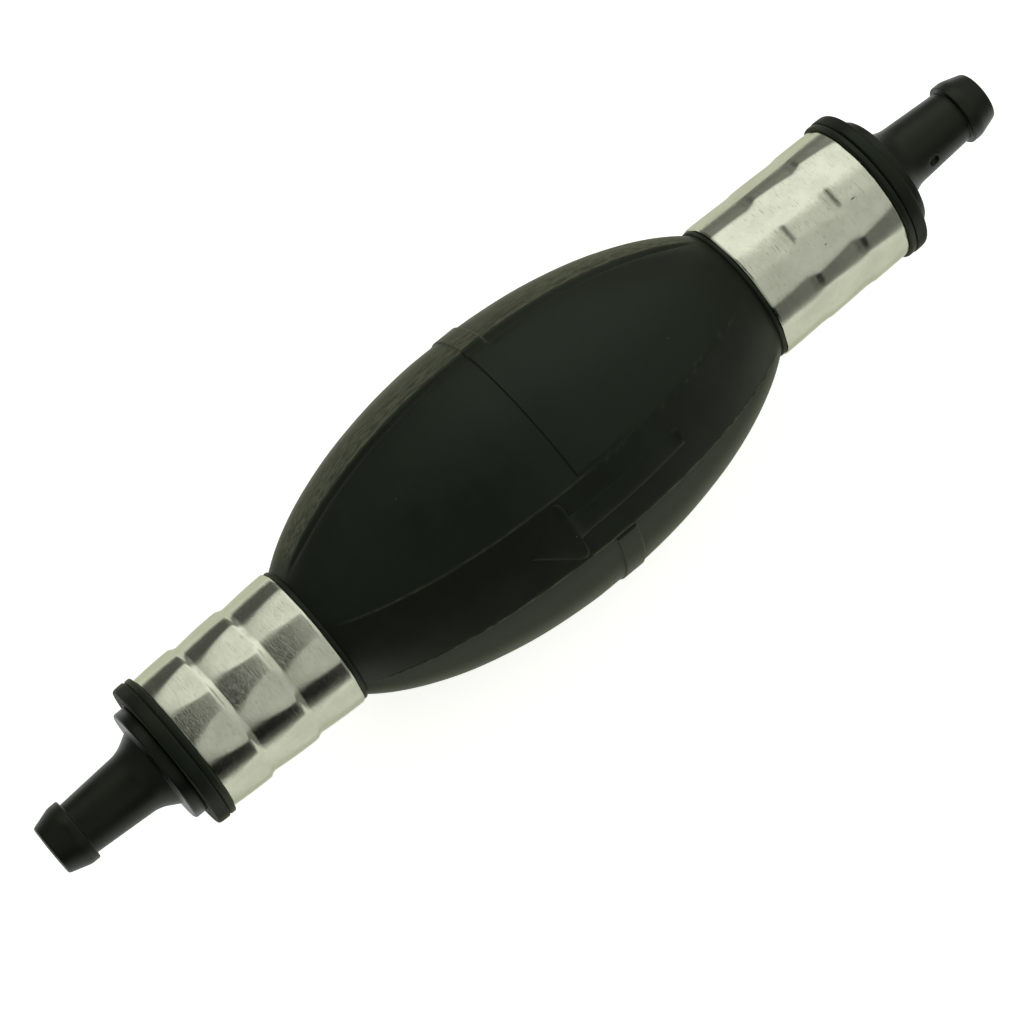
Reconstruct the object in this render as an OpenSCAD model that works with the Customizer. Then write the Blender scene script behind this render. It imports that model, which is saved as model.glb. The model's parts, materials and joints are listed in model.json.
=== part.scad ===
// Siphon bulb pump: a hand primer bulb for a fuel hose.
// Fuel flows towards +X. The bulb's centre is the origin, +Z is up, sizes are in millimetres.

/* [Bulb] */
// Diameter over the middles of the wide panels
bulb_d = 48; // [42:1:56]
// Length of the bulb between its two necks
belly_l = 87; // [76:1:100]
// Length of the straight stretch round the bulb's middle, on which it lies
middle_l = 9; // [6:0.5:14]
// Diameter of the bulb where it runs into a neck
shoulder_d = 25; // [24.6:0.1:26]
// Thickness of the rubber wall
bulb_wall = 3.2; // [2:0.1:4.5]
// Outer diameter of each neck, under its ferrule
neck_d = 24.4; // [23.6:0.1:24.6]
// Thickness of the rubber in each neck
neck_wall = 3.2; // [2.6:0.1:3.4]
// Width of the bead at the inner end of each ferrule
bead_w = 1.1; // [0.6:0.1:2]
// Height of that bead above the neck
bead_h = 0.7; // [0.4:0.1:1]
// Thickness of the lip at the outer end of each neck
lip_t = 1.1; // [0.8:0.1:2]
// Height of that lip above the ferrule
lip_h = 0.4; // [0.2:0.1:1]

/* [Bulb panels] */
// How far the ridges between the panels stand out beyond the middles of the wide panels
ridge_h = 0.95; // [0.4:0.05:1.5]
// Angle of the ridge between two wide panels, round the bulb from +Z towards +Y
seam_angle = -35; // [-42:0.5:-28]
// Angle of the middle of the narrow panel that carries the arrow
strip_angle = 49; // [44:0.5:54]
// Width of the two narrow panels
strip_w = 12.5; // [10:0.1:15]
// Crown of the narrow panels
strip_crown = 0.2; // [0:0.05:0.5]
// Width of the raised belt round the middle
belt_w = 4; // [2:0.5:8]
// Height of the belt
belt_h = 0.3; // [0.1:0.05:0.6]
// Place of the belt's middle along the flow
belt_x = -2.2; // [-8:0.1:8]

/* [Flow arrows] */
// Length of each flow arrow, tip to tail
arrow_l = 31; // [20:0.5:40]
// Place of the arrow's tip along the flow
arrow_tip_x = 12.8; // [8:0.2:20]
// Length of the arrow's head
arrow_head_l = 8.2; // [5:0.2:12]
// Width of the arrow's head
arrow_head_w = 11.2; // [6:0.2:12]
// Width of the arrow's shaft
arrow_shaft_w = 4; // [2:0.2:5.6]
// Height of the arrow above its panel
arrow_h = 0.4; // [0.2:0.05:0.8]

/* [Ferrules] */
// Length of each crimped ferrule
ferrule_l = 26.5; // [20:0.5:34]
// Thickness of the ferrule over the middle of a crimped band
ferrule_wall = 0.7; // [0.5:0.05:1.2]
// Number of crimped bands along a ferrule
crimp_bands = 3; // [2:1:4]
// Depth of the valley between two crimped bands
crimp_depth = 0.3; // [0.1:0.05:0.4]

/* [Gaskets] */
// Thickness of each face gasket
gasket_t = 2.3; // [1.5:0.1:4]
// Outer diameter of each gasket
gasket_d = 27; // [25:0.2:30]
// Size of the gasket's round edge next to the flange
gasket_round = 0.7; // [0.3:0.05:1.2]

/* [End fittings] */
// Diameter of the flange
flange_d = 20.8; // [19.6:0.1:24]
// Thickness of the flange
flange_t = 2.3; // [1.5:0.1:4]
// Diameter of the cone's foot on the flange
cone_d = 14.6; // [13:0.2:18]
// Length of the cone between the flange and the stem
cone_l = 3.2; // [2:0.2:6]
// Diameter of the stem at the cone
stem_root_d = 11; // [10:0.1:12.5]
// Diameter of the stem at the barb
stem_tip_d = 9.5; // [8.5:0.1:10.5]
// Length of the stem
stem_l = 12; // [8:0.5:24]
// Diameter of the hose barb
barb_d = 11.2; // [10.8:0.1:12.5]
// Length of the barb's cylindrical crest
barb_crest_l = 1.8; // [1:0.1:3]
// Length of the barb's taper
barb_taper_l = 3.7; // [2:0.1:6]
// Diameter of the barb's tip
barb_tip_d = 8.9; // [8.2:0.1:10]
// Diameter of the fuel bore through stem and barb
bore_d = 6; // [4:0.1:6.6]
// Length of the spigot inside the neck
spigot_l = 27.5; // [24:0.5:30]
// Depth of the spigot's grooves between its ribs
rib_h = 0.4; // [0.2:0.05:0.6]
// Number of ribs on the spigot
ribs = 4; // [2:1:5]
// Thickness of the spigot's wall round the pocket for the check valve, ribs included
spigot_wall = 2.3; // [2:0.1:2.6]
// Width of the edges broken along the flange
flange_edge = 0.35; // [0.1:0.05:0.8]

/* [Check valves] */
// Length of a check valve, seat and cage together
valve_l = 16; // [15:0.5:19]
// Height of the valve seat
seat_l = 3.6; // [3.2:0.1:4.5]
// Width of the seat's conical face, from the hole to the mouth
seat_cone_w = 1.3; // [0.8:0.1:1.8]
// Depth of the seat's conical face
seat_cone_l = 1.2; // [0.8:0.1:1.4]
// Width of the flat rim that the poppet's head covers round the seat's mouth
seat_land = 0.4; // [0.2:0.05:0.8]
// Wire diameter of the seat's sealing ring
seat_seal_wire = 1.2; // [1:0.1:1.5]
// Wall of the valve cage
cage_wall = 0.9; // [0.6:0.1:1.1]
// Thickness of the cage's end plate
cage_plate_t = 1.6; // [1:0.1:2.5]
// Number of windows in the cage's end plate
windows = 5; // [3:1:6]
// Clear rim left on both sides of each window
window_rim = 0.15; // [0.1:0.05:0.4]
// Way for the fuel round the poppet's head, inside the cage
flow_gap = 0.8; // [0.5:0.05:1.2]
// Thickness of the poppet's head
poppet_head_t = 1.4; // [1.2:0.1:2.4]
// Height of the boss that centres the spring on the poppet
poppet_boss_l = 1; // [0.6:0.1:2]
// Diameter of the poppet's stem
poppet_stem_d = 2.2; // [1.8:0.1:2.8]
// Length of the stem that shows past the guide when the valve is shut
poppet_tail = 0.6; // [0.2:0.1:1.5]
// Way that the poppet opens
poppet_travel = 3; // [1:0.5:4]
// Wire diameter of the poppet's sealing ring
poppet_seal_wire = 1; // [0.8:0.05:1.2]
// Middle diameter of the spring's coil
spring_d = 5; // [4.6:0.1:5.4]
// Wire diameter of the spring
spring_wire = 0.6; // [0.4:0.05:0.7]
// Number of turns in the spring
spring_turns = 6; // [4:1:6]
// Thickness of the retaining ring
ring_t = 0.9; // [0.6:0.1:1.2]
// Depth of the retaining ring's groove in the pocket wall
ring_groove = 0.7; // [0.4:0.05:0.9]
// Width of the gap in the retaining ring
ring_gap = 5; // [3:0.5:7]

/* [Clearances] */
// Radial gap between the rubber and the pieces that grip it
grip_gap = 0.1; // [0.05:0.01:0.2]
// Gap along the axis between the rubber and the pieces next to it
stack_gap = 0.05; // [0.02:0.01:0.1]
// Radial gap round a check valve in its pocket
valve_gap = 0.1; // [0.05:0.01:0.2]
// Running clearance between the poppet's stem and its guide
stem_gap = 0.05; // [0.02:0.01:0.1]
// Gap between the shut poppet and its seat
seat_gap = 0.12; // [0.05:0.01:0.2]

/* [Hidden] */
$fn = 96;

rubber_black = [0.13, 0.14, 0.13];
plastic_black = [0.09, 0.10, 0.09];
aluminium = [0.78, 0.79, 0.74];
brass = [0.76, 0.62, 0.33];
steel = [0.70, 0.71, 0.72];
acetal = [0.88, 0.88, 0.85];
seal_brown = [0.30, 0.17, 0.11];

// Places along the axis, each as a distance from the bulb's centre
belly_end = belly_l / 2;
ferrule_start = belly_end + bead_w + stack_gap;
ferrule_end = ferrule_start + ferrule_l;
lip_start = ferrule_end + stack_gap;
lip_end = lip_start + lip_t;
gasket_start = lip_end + 2 * stack_gap;
flange_start = gasket_start + gasket_t;
flange_end = flange_start + flange_t;
cone_end = flange_end + cone_l;
barb_start = cone_end + stem_l;
barb_crest_end = barb_start + barb_crest_l;
barb_end = barb_crest_end + barb_taper_l;
spigot_start = flange_start - spigot_l;
ring_start = spigot_start + ring_t;
valve_start = ring_start + ring_t;
valve_end = valve_start + valve_l;

// Radii of the bulb. Its outline is an ellipse that runs into the necks, and its straight middle
// cuts off the ellipse's peak. The chamber is an ellipse too
bulb_r = bulb_d / 2;
neck_r = neck_d / 2;
neck_bore_r = neck_r - neck_wall;
chamber_r = bulb_r - bulb_wall;
belly_reach = pow(bulb_r * belly_end, 2) - pow(middle_l * shoulder_d / 4, 2);
belly_half = sqrt(belly_reach / (pow(bulb_r, 2) - pow(shoulder_d / 2, 2)));
belly_peak = sqrt(belly_reach / (pow(belly_end, 2) - pow(middle_l / 2, 2)));
chamber_half = belly_end / sqrt(1 - pow(neck_bore_r / chamber_r, 2));
ridge_r = bulb_r + ridge_h;
ferrule_r = neck_r + grip_gap + ferrule_wall;

// How finely the bulb's curved skin is divided. A wide panel has an odd number of steps, so that
// the bulb lies on a flat one
wide_steps = 9;
strip_steps = 5;
belly_steps = 16;
chamber_steps = 28;
arrow_steps = 5;

// Length of the first step next to a neck, as a share of an even step
neck_step = 0.55;
// Run of the belt's slanted edges
belt_edge = 0.3;
// How far a neck reaches into the belly that it joins
bead_root = 3;
// How far a cut or a root reaches past the face that it crosses
overlap = 0.4;

// Radii of the end fittings and the check valves, each from the piece that holds it
spigot_r = neck_bore_r - grip_gap;
pocket_r = spigot_r - spigot_wall;
valve_r = pocket_r - valve_gap;
cage_bore_r = valve_r - cage_wall;
poppet_r = cage_bore_r - flow_gap;
seat_mouth_r = poppet_r - seat_land;
seat_bore_r = seat_mouth_r - seat_cone_w;
bore_r = bore_d / 2;

// Places along a check valve, each from its upstream face
seat_cone_start = seat_l - seat_cone_l;
seat_slope = seat_cone_w / seat_cone_l;
seat_slant = cos(atan(seat_slope));
seal_place = seat_l - seat_cone_l / 4;
seal_r = seat_r(seal_place) - (poppet_seal_wire / 2 + seat_gap / 2) / seat_slant;
head_start = seat_l + seat_gap;
head_end = head_start + poppet_head_t;
boss_end = head_end + poppet_boss_l;
boss_r = spring_d / 2 - spring_wire;
plate_start = valve_l - cage_plate_t;
window_inner = (spring_d + spring_wire) / 2 + window_rim;
window_outer = cage_bore_r - window_rim;
groove_place = seat_cone_start / 2;

// Spigot: its ribs, and half a pitch of full collar at the flange, share the length past the ring
rib_pitch = (spigot_l - 2 * ring_t) / (ribs + 1);
collar_start = flange_start - rib_pitch / 2;
rib_rise = 0.6;
rib_top = 0.2;

// Spring: eight rings of six sides for each turn
turn_rings = 8;
wire_sides = 6;
spring_rings = spring_turns * turn_rings + 1;
spring_start = head_end + spring_wire / 2 + stack_gap;
spring_end = plate_start - spring_wire / 2 - stack_gap;

// Radius of the seat's conical face at a distance along the valve
function seat_r(c) = seat_bore_r + (c - seat_cone_start) * seat_slope;

// Radius of a wide panel at an angle from its middle: an arc through both of its ridges
function wide_r(a, half) =
    let (beyond = (pow(ridge_r, 2) - pow(bulb_r, 2)) / (2 * (bulb_r - ridge_r * cos(half))))
    sqrt(pow(bulb_r + beyond, 2) - pow(beyond * sin(a), 2)) - beyond * cos(a);

// Radius of a narrow panel: nearly flat between its two ridges
function strip_r(a, half) =
    ridge_r * cos(half) / cos(a) + strip_crown * (1 - pow(a / half, 2));

// One panel of the section as [angle, radius, whether the belt stands out there] for each step.
// The belt runs out over the first step of its panel, so no ridge carries it
function panel(low, high, steps, wide, belted) =
    let (middle = (low + high) / 2, half = (high - low) / 2)
    [for (k = [0 : steps - 1])
        let (a = half * (2 * k / steps - 1))
        [middle + a, wide ? wide_r(a, half) : strip_r(a, half), belted && k > 0]];

// The bulb's section at a place along the flow. The narrow panels keep their width all along,
// so the wide ones taper. Both halves of the section are alike, half a turn apart.
function section(x) =
    let (reach = asin(strip_w / 2 / skin_r(x, ridge_r)),
         low = strip_angle - reach, high = strip_angle + reach)
    [for (half = [0, 180]) each concat(
        panel(half + seam_angle, half + low, wide_steps, true, false),
        panel(half + low, half + high, strip_steps, false, false),
        panel(half + high, half + 180 + seam_angle, wide_steps, true, true))];

// Stations along the belly, with extra ones at the belt's two edges
belt_low = belt_x - belt_w / 2;
belt_high = belt_x + belt_w / 2;
STATIONS = concat(
    [for (k = [0 : belly_steps - 1])
        -belly_end + (belt_low - belt_edge + belly_end) * ease(k / belly_steps)],
    [belt_low - belt_edge, belt_low, belt_high, belt_high + belt_edge],
    [for (k = [belly_steps - 1 : -1 : 0])
        belly_end - (belly_end - belt_high - belt_edge) * ease(k / belly_steps)]);

// Steps that are shorter near the necks, where the outline is steep
function ease(t) = t * (neck_step + (1 - neck_step) * t);

// Outline of the belly, and how much of the panels' shape is left near the necks
function belly_r(x) = min(bulb_r, belly_peak * sqrt(1 - pow(x / belly_half, 2)));
function panel_share(x) = 1 - pow(abs(x) / belly_end, 4);
function skin_r(x, r) = belly_r(x) * (1 + (r / bulb_r - 1) * panel_share(x));
function skin_point(x, s) =
    let (r = skin_r(x, s[1]) + (s[2] && x >= belt_low && x <= belt_high ? belt_h : 0))
    [x, r * sin(s[0]), r * cos(s[0])];

// Faces of a tube of rings, closed at both ends
function tube_faces(rings, sides) = concat(
    [for (i = [0 : rings - 2], j = [0 : sides - 1])
        let (a = i * sides + j, b = i * sides + (j + 1) % sides)
        each [[a, b, a + sides], [b, b + sides, a + sides]]],
    [[for (j = [sides - 1 : -1 : 0]) j]],
    [[for (j = [0 : sides - 1]) (rings - 1) * sides + j]]);

// Turns a shape that stands along Z so that it lies along +X
module along_x() {
    rotate([0, 90, 0]) children();
}

// Places a shape made for the outlet end at both ends of the pump, or at one of them
module outlet_end() {
    along_x() children();
}

module inlet_end() {
    mirror([1, 0, 0]) along_x() children();
}

// Places a check valve, which faces the same way at both ends
module inlet_valve() {
    translate([-valve_end, 0, 0]) along_x() children();
}

module outlet_valve() {
    translate([valve_start, 0, 0]) along_x() children();
}

// ---------------------------------------------------------------- bulb

module belly() {
    polyhedron(
        points = [for (x = STATIONS) each [for (s = section(x)) skin_point(x, s)]],
        faces = tube_faces(len(STATIONS), 4 * wide_steps + 2 * strip_steps),
        convexity = 4);
}

// One neck with its bead and lip, from just inside the belly outwards
module neck() {
    rotate_extrude()
        polygon([
            [0, belly_end - bead_root], [neck_r, belly_end - bead_root],
            [neck_r + bead_h, belly_end], [neck_r + bead_h, belly_end + bead_w], [neck_r, belly_end + bead_w],
            [neck_r, lip_start], [ferrule_r + lip_h, lip_start],
            [ferrule_r + lip_h, lip_end], [0, lip_end]]);
}

// The hollow inside the bulb, open through both necks
module chamber() {
    rotate_extrude()
        polygon(concat(
            [[0, -lip_end - overlap], [neck_bore_r, -lip_end - overlap]],
            [for (k = [0 : chamber_steps])
                let (z = belly_end * (2 * k / chamber_steps - 1))
                [chamber_r * sqrt(1 - pow(z / chamber_half, 2)), z]],
            [[neck_bore_r, lip_end + overlap], [0, lip_end + overlap]]));
}

// A raised strip on a narrow panel, as [place along the flow, half its width] for each station
module strip(shape) {
    polyhedron(
        points = [for (p = shape)
            let (reach = asin(strip_w / 2 / skin_r(p[0], ridge_r)),
                 top = skin_r(p[0], strip_r(0, reach)) + arrow_h,
                 root = top - arrow_h - overlap * 2)
            each [[p[0], -p[1], root], [p[0], -p[1], top], [p[0], p[1], top], [p[0], p[1], root]]],
        faces = tube_faces(len(shape), 4),
        convexity = 4);
}

module flow_arrow() {
    head_x = arrow_tip_x - arrow_head_l;
    tail_x = arrow_tip_x - arrow_l;
    // Run of the step out from the shaft to the head, and half the width of the blunt tip
    step_x = 0.2;
    tip_w = 0.1;
    strip(concat(
        [for (k = [0 : arrow_steps])
            [tail_x + (head_x - step_x - tail_x) * k / arrow_steps, arrow_shaft_w / 2]],
        [for (k = [0 : 2])
            [head_x + arrow_head_l * k / 2, arrow_head_w / 2 * (1 - k / 2) + tip_w]]));
}

module bulb() {
    color(rubber_black)
        difference() {
            union() {
                belly();
                outlet_end() neck();
                inlet_end() neck();
                for (half = [0, 180]) rotate([-half - strip_angle, 0, 0]) flow_arrow();
            }
            along_x() chamber();
        }
}

// ---------------------------------------------------------------- ends

// A metal sleeve with a shallow valley between its crimped bands and a rolled end
module ferrule() {
    band_l = ferrule_l / crimp_bands;
    flank = band_l / 4;
    color(aluminium)
        difference() {
            rotate_extrude()
                polygon(concat(
                    [[0, ferrule_start]],
                    [for (k = [0 : crimp_bands - 1])
                        let (z = ferrule_start + k * band_l,
                             low = k == 0 ? 0 : crimp_depth,
                             high = k == crimp_bands - 1 ? 0 : crimp_depth)
                        each [[ferrule_r - low, z], [ferrule_r, z + flank],
                              [ferrule_r, z + band_l - flank], [ferrule_r - high, z + band_l]]],
                    [[0, ferrule_end]]));
            translate([0, 0, ferrule_start - overlap])
                cylinder(r = neck_r + grip_gap, h = ferrule_l + 2 * overlap);
        }
}

// A rubber washer with a broken edge at the bulb and a round one at the flange
module gasket() {
    outer_r = gasket_d / 2;
    edge = gasket_round / 3;
    color(rubber_black)
        difference() {
            rotate_extrude()
                polygon([
                    [0, gasket_start], [outer_r - edge, gasket_start],
                    [outer_r, gasket_start + edge], [outer_r, flange_start - gasket_round],
                    [outer_r - edge, flange_start - edge],
                    [outer_r - gasket_round, flange_start], [0, flange_start]]);
            translate([0, 0, gasket_start - overlap])
                cylinder(r = neck_bore_r, h = gasket_t + 2 * overlap);
        }
}

// Outline of the spigot's ribs: each rises slowly and drops square, so the neck can't slip off
function rib_points() = [for (k = [0 : ribs - 1])
    let (z = spigot_start + 2 * ring_t + k * rib_pitch, drop = z + rib_pitch * (rib_rise + rib_top))
    each [[spigot_r - rib_h, z], [spigot_r, z + rib_pitch * rib_rise],
          [spigot_r, drop], [spigot_r - rib_h, drop]]];

module fitting() {
    flange_r = flange_d / 2;
    funnel_l = cage_bore_r - bore_r;
    color(plastic_black)
        difference() {
            rotate_extrude()
                polygon(concat(
                    [[0, spigot_start], [spigot_r - rib_h, spigot_start]],
                    rib_points(),
                    [[spigot_r - rib_h, collar_start], [spigot_r, collar_start],
                     [spigot_r, flange_start], [flange_r - flange_edge, flange_start],
                     [flange_r, flange_start + flange_edge], [flange_r, flange_end - flange_edge],
                     [flange_r - flange_edge, flange_end],
                     [cone_d / 2, flange_end], [stem_root_d / 2, cone_end],
                     [stem_tip_d / 2, barb_start], [barb_d / 2, barb_start],
                     [barb_d / 2, barb_crest_end], [barb_tip_d / 2, barb_end], [0, barb_end]]));
            translate([0, 0, spigot_start - overlap])
                cylinder(r = pocket_r, h = valve_end - spigot_start + overlap);
            translate([0, 0, ring_start]) cylinder(r = pocket_r + ring_groove, h = ring_t);
            translate([0, 0, valve_end]) cylinder(r1 = cage_bore_r, r2 = bore_r, h = funnel_l);
            cylinder(r = bore_r, h = barb_end + overlap);
        }
}

// An open snap ring in the groove at the pocket's mouth
module retaining_ring() {
    ring_r = pocket_r + ring_groove;
    color(steel)
        difference() {
            translate([0, 0, ring_start]) cylinder(r = ring_r, h = ring_t);
            translate([0, 0, ring_start - overlap])
                cylinder(r = cage_bore_r, h = ring_t + 2 * overlap);
            translate([0, -ring_gap / 2, ring_start - overlap])
                cube([ring_r + overlap, ring_gap, ring_t + 2 * overlap]);
        }
}

// ---------------------------------------------------------------- check valve

// Every piece of a check valve starts at its upstream face and runs downstream
module valve_seat() {
    groove_r = pocket_r - seat_seal_wire;
    color(brass)
        difference() {
            cylinder(r = valve_r, h = seat_l);
            translate([0, 0, -overlap]) cylinder(r = seat_bore_r, h = seat_l + 2 * overlap);
            translate([0, 0, seat_cone_start])
                cylinder(r1 = seat_bore_r, r2 = seat_mouth_r, h = seat_cone_l);
            translate([0, 0, groove_place - seat_seal_wire / 2])
                difference() {
                    cylinder(r = pocket_r + overlap, h = seat_seal_wire);
                    translate([0, 0, -overlap])
                        cylinder(r = groove_r, h = seat_seal_wire + 2 * overlap);
                }
        }
}

module round_seal(middle_r, wire, place) {
    color(seal_brown)
        translate([0, 0, place])
            rotate_extrude() translate([middle_r, 0]) circle(d = wire, $fn = 32);
}

module seat_seal() {
    round_seal(pocket_r - seat_seal_wire / 2, seat_seal_wire, groove_place);
}

module poppet_seal() {
    round_seal(seal_r, poppet_seal_wire, seal_place);
}

module poppet() {
    cone_gap = seat_gap / seat_slant;
    stem_r = poppet_stem_d / 2;
    stem_end = valve_l + poppet_tail;
    color(acetal)
        difference() {
            rotate_extrude()
                polygon([
                    [0, seat_cone_start], [seat_bore_r - cone_gap, seat_cone_start],
                    [seat_mouth_r - cone_gap, seat_l], [seat_mouth_r - cone_gap, head_start],
                    [poppet_r, head_start], [poppet_r, head_end],
                    [boss_r, head_end], [boss_r, boss_end],
                    [stem_r, boss_end], [stem_r, stem_end], [0, stem_end]]);
            poppet_seal();
        }
}

// A cup that clamps the seat, with flow windows and a guide tube that also stops the poppet
module valve_cage() {
    guide_start = boss_end + poppet_travel + stack_gap;
    color(acetal)
        difference() {
            union() {
                difference() {
                    translate([0, 0, seat_l]) cylinder(r = valve_r, h = valve_l - seat_l);
                    translate([0, 0, seat_l - overlap])
                        cylinder(r = cage_bore_r, h = plate_start - seat_l + overlap);
                }
                translate([0, 0, guide_start]) cylinder(r = boss_r, h = valve_l - guide_start);
            }
            translate([0, 0, seat_l])
                cylinder(r = poppet_stem_d / 2 + stem_gap, h = valve_l);
            for (k = [0 : windows - 1])
                rotate([0, 0, k * 360 / windows])
                    translate([(window_inner + window_outer) / 2, 0, plate_start - overlap])
                        cylinder(d = window_outer - window_inner, h = cage_plate_t + 2 * overlap);
        }
}

// One unbroken wire wound as a helix between the poppet's head and the cage's plate
function spring_ring(t) =
    let (turn = 360 * spring_turns * t, r = spring_d / 2,
         z = spring_start + (spring_end - spring_start) * t)
    [for (k = [0 : wire_sides - 1])
        let (a = 360 * k / wire_sides, u = spring_wire / 2 * cos(a), v = spring_wire / 2 * sin(a))
        [(r + u) * cos(turn), (r + u) * sin(turn), z + v]];

// The points of all rings, and the least distance from any ring's points to the next turn's
function spring_points() = [for (i = [0 : spring_rings - 1]) spring_ring(i / (spring_rings - 1))];
function spring_least_gap(p) = min([for (i = [0 : spring_rings - 1 - turn_rings], a = p[i])
    min([for (j = [i + turn_rings - 2 : min(i + turn_rings + 2, spring_rings - 1)], b = p[j])
        norm(a - b)])]);

module spring() {
    rings = spring_points();
    echo(spring_least_gap = spring_least_gap(rings));
    color(steel)
        polyhedron(
            points = [for (r = rings) each r],
            faces = tube_faces(spring_rings, wire_sides),
            convexity = 10);
}

// ---------------------------------------------------------------- nodes

bulb();
inlet_end() ferrule();  // inlet_ferrule
outlet_end() ferrule();  // outlet_ferrule
inlet_end() gasket();  // inlet_gasket
outlet_end() gasket();  // outlet_gasket
inlet_end() fitting();  // inlet_fitting
outlet_end() fitting();  // outlet_fitting
inlet_valve() valve_seat();  // inlet_valve_seat
outlet_valve() valve_seat();  // outlet_valve_seat
inlet_valve() seat_seal();  // inlet_seat_seal
outlet_valve() seat_seal();  // outlet_seat_seal
inlet_valve() poppet();  // inlet_poppet
outlet_valve() poppet();  // outlet_poppet
inlet_valve() poppet_seal();  // inlet_poppet_seal
outlet_valve() poppet_seal();  // outlet_poppet_seal
inlet_valve() spring();  // inlet_spring
outlet_valve() spring();  // outlet_spring
inlet_valve() valve_cage();  // inlet_valve_cage
outlet_valve() valve_cage();  // outlet_valve_cage
inlet_end() retaining_ring();  // inlet_retaining_ring
outlet_end() retaining_ring();  // outlet_retaining_ring
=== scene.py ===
"""Looks of the siphon bulb pump: rubber bulb, crimped ferrules, barb fittings and check valves."""

import json
from math import asin, atan, cos, degrees, exp, pi, radians, sin, sqrt

import bpy
import bmesh
from mathutils import Matrix, Vector, noise


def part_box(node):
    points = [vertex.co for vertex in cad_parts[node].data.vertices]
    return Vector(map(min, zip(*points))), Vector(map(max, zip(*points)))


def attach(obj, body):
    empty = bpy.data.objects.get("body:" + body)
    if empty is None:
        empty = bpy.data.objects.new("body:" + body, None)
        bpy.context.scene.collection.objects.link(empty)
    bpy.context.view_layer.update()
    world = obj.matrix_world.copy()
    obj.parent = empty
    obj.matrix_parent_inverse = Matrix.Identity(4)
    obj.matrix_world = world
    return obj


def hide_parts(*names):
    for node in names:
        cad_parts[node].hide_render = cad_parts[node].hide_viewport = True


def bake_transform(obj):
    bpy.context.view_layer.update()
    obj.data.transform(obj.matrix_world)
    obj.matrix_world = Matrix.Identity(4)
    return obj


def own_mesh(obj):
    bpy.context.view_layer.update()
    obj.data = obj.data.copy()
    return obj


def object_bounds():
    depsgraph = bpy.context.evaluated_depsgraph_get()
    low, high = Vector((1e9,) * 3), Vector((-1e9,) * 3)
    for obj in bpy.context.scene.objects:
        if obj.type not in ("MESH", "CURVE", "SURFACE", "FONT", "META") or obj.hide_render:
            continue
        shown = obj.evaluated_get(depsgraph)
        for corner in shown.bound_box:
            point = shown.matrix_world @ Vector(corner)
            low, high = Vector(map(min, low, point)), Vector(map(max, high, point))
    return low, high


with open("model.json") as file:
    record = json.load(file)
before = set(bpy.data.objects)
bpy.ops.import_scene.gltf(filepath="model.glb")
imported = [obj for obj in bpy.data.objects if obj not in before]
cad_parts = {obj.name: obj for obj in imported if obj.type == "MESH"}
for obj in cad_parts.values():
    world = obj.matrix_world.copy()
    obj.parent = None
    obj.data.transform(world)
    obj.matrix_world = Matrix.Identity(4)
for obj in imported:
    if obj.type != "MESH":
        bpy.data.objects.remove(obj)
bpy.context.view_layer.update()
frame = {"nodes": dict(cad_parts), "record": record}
NODES = frame["nodes"]
MM = 0.001
SIDES = {"inlet": -1, "outlet": 1}

# ---------------------------------------------------------------- sizes, in millimetres

# The bulb's outline and section, as in the CAD model
BULB_R = 24.0
SHOULDER_R = 12.5
BELLY_END = 43.5
MIDDLE_HALF = 4.5
RIDGE_R = 24.95
SEAM_ANGLE = -35.0
STRIP_ANGLE = 49.0
STRIP_HALF = 6.25
STRIP_CROWN = 0.2
CHAMBER_R = 20.8
NECK_BORE_R = 9.0
NECK_R = 12.2
BEAD_R = 12.75
BELT = (-4.2, -0.2)
BELT_H = 0.3
ARROW_H = 0.4


def reach(node):
    """Where a node of the outlet end starts and ends along the axis, and its outer radius."""
    low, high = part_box(node)
    return low.x / MM, high.x / MM, high.z / MM


FERRULE_START, FERRULE_END, FERRULE_R = reach("outlet_ferrule")
GASKET_START, FLANGE_START, GASKET_R = reach("outlet_gasket")
SPIGOT_START, BARB_END, FLANGE_R = reach("outlet_fitting")
LIP_END = reach("bulb")[1]
LIP_START = FERRULE_END + 0.05
LIP_R = 13.4
FERRULE_BORE_R = 12.3


# ---------------------------------------------------------------- meshes

def mesh_piece(name, points, faces, material, body=None, sharp=50, rub_and_light_share=()):
    """A smooth piece from points in millimetres, with its creases above an angle kept sharp.
    The last argument says for each point how far its colour is painted paler, for marks of rubbing
    and for painted rim light, from 0 to 1."""
    mesh = bpy.data.meshes.new(name)
    mesh.from_pydata([Vector(p) * MM for p in points], [], faces)
    bm = bmesh.new()
    bm.from_mesh(mesh)
    bmesh.ops.recalc_face_normals(bm, faces=bm.faces)
    for edge in bm.edges:
        edge.smooth = edge.calc_face_angle(0) < radians(sharp)
    for face in bm.faces:
        face.smooth = True
    bm.to_mesh(mesh)
    bm.free()
    if rub_and_light_share:
        mesh.attributes.new("rub_and_light_share", "FLOAT", "POINT").data.foreach_set("value", rub_and_light_share)
    mesh.materials.append(material)
    piece = bpy.data.objects.new(name, mesh)
    bpy.context.scene.collection.objects.link(piece)
    if body:
        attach(piece, body)
    return piece


def tube_faces(rows, sides, closed=True):
    """Quads between rows of points round a tube; a closed one joins its last row to its first."""
    faces = []
    for i in range(rows if closed else rows - 1):
        a, b = i * sides, (i + 1) % rows * sides
        faces += [(a + j, a + (j + 1) % sides, b + (j + 1) % sides, b + j) for j in range(sides)]
    return faces


def point(x, r, angle):
    """A point at an angle in degrees, measured from +Z towards +Y."""
    return (x, r * sin(radians(angle)), r * cos(radians(angle)))


def around(count):
    """Even angles of a full turn, in degrees."""
    return [360 * k / count for k in range(count)]


def smooth_step(t):
    t = min(1.0, max(0.0, t))
    return t * t * (3 - 2 * t)


def bump(u, middle, width):
    return exp(-((u - middle) / width) ** 2)


def soft_min(a, b, k):
    """The lesser of two heights, rounded over k where they are alike."""
    h = max(0.0, k - abs(a - b)) / k
    return min(a, b) - h * h * k / 4


# A rounding takes at most this share of each line that it joins
MOST_OF_LINE = 0.45


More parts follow.
